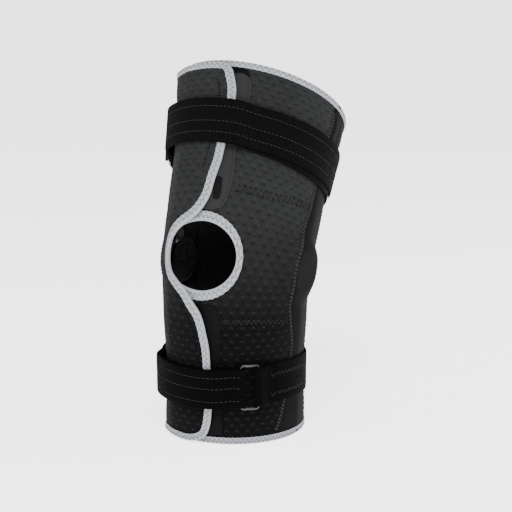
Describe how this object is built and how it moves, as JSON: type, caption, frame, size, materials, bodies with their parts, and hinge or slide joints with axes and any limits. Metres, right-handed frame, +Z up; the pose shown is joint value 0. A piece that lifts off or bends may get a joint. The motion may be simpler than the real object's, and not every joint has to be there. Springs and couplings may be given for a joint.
{
  "type": "hinged knee brace",
  "caption": "Wraparound hinged knee brace: embossed stretch sleeve with a kneecap opening, an overlapping front flap, side hinges and thigh and calf straps.",
  "frame": {"origin": "centre of the bounding box in X and Y, on the plane of the lower hem", "axes": "+Z up the calf from the lower hem, -Y is the front with the kneecap opening, X runs along the hinge line; right is +X as seen from the front"},
  "size_m": [0.1654, 0.228, 0.3256],
  "materials": {
    "embossed_neoprene": "matt charcoal stretch fabric, embossed with a staggered dot pattern",
    "smooth_neoprene": "matt smooth black stretch fabric",
    "lining": "soft knitted lining",
    "edge_tape": "light grey woven edge tape",
    "webbing": "black loop webbing with grey stitch lines",
    "hook_tape": "dark grey hook tape",
    "label": "plain black woven patch, no words",
    "ring_steel": "dark plated wire",
    "bar_aluminium": "satin",
    "washer_plastic": "plain",
    "rivet_steel": "satin",
    "pad_foam": "cloth-faced foam"
  },
  "bodies": {
    "calf_section": {"bottom_binding": "edge_tape", "calf_back_panel": "embossed_neoprene", "calf_flap": "embossed_neoprene", "calf_flap_binding": "edge_tape", "calf_front_panel": "embossed_neoprene", "calf_lining_left": "lining", "calf_lining_right": "lining", "calf_side_left": "smooth_neoprene", "calf_side_right": "smooth_neoprene", "condyle_pad_left": "pad_foam", "condyle_pad_right": "pad_foam", "hinge_washer_left": "washer_plastic", "hinge_washer_right": "washer_plastic", "knee_back_panel": "embossed_neoprene", "knee_flap": "embossed_neoprene", "knee_flap_binding": "edge_tape", "knee_front_panel": "embossed_neoprene", "knee_side_left": "smooth_neoprene", "knee_side_right": "smooth_neoprene", "lower_bar_left": "bar_aluminium", "lower_bar_right": "bar_aluminium", "lower_hook_strip": "hook_tape", "lower_ring_anchor": "webbing", "lower_strap": "webbing", "patella_binding": "edge_tape", "pivot_rivet_left": "rivet_steel", "pivot_rivet_right": "rivet_steel"},
    "thigh_section": {"thigh_back_panel": "embossed_neoprene", "thigh_flap": "embossed_neoprene", "thigh_flap_binding": "edge_tape", "thigh_front_panel": "embossed_neoprene", "thigh_lining_left": "lining", "thigh_lining_right": "lining", "thigh_side_left": "smooth_neoprene", "thigh_side_right": "smooth_neoprene", "upper_bar_left": "bar_aluminium", "upper_bar_right": "bar_aluminium", "upper_hook_strip": "hook_tape", "upper_ring_anchor": "webbing", "upper_strap": "webbing", "top_binding": "edge_tape", "label_patch": "label"},
    "upper_ring_body": {"upper_ring": "ring_steel"},
    "upper_tab_body": {"upper_strap_tab": "webbing"},
    "lower_ring_body": {"lower_ring": "ring_steel"},
    "lower_tab_body": {"lower_strap_tab": "webbing"}
  },
  "joints": [
    {"name": "knee_flexion", "type": "hinge", "parent": "calf_section", "child": "thigh_section", "pos_m": [0.01472, -0.03553, 0.14543], "axis": [-1, 0, 0], "range_deg": [-32, 58], "deforming": ["knee_front_panel", "knee_flap", "knee_flap_binding", "patella_binding", "knee_side_right", "knee_side_left", "knee_back_panel"]},
    {"name": "upper_ring_swing", "type": "hinge", "parent": "thigh_section", "child": "upper_ring_body", "pos_m": [-0.07281, 0.00741, 0.23869], "axis": [-0.2189, 0.5097, 0.832], "range_deg": [-2.5, 2.5]},
    {"name": "upper_tab_peel", "type": "hinge", "parent": "thigh_section", "child": "upper_tab_body", "pos_m": [0.08119, 0.01981, 0.23158], "axis": [0.0029, -0.5385, -0.8426], "range_deg": [0, 60]},
    {"name": "lower_ring_swing", "type": "hinge", "parent": "calf_section", "child": "lower_ring_body", "pos_m": [0.06287, -0.08821, 0.0509], "axis": [0.005, -0.0046, 1], "range_deg": [-2.5, 2.5]},
    {"name": "lower_tab_peel", "type": "hinge", "parent": "calf_section", "child": "lower_tab_body", "pos_m": [-0.04917, -0.03544, 0.04931], "axis": [-0.0054, 0.0007, 1], "range_deg": [0, 60]}
  ]
}
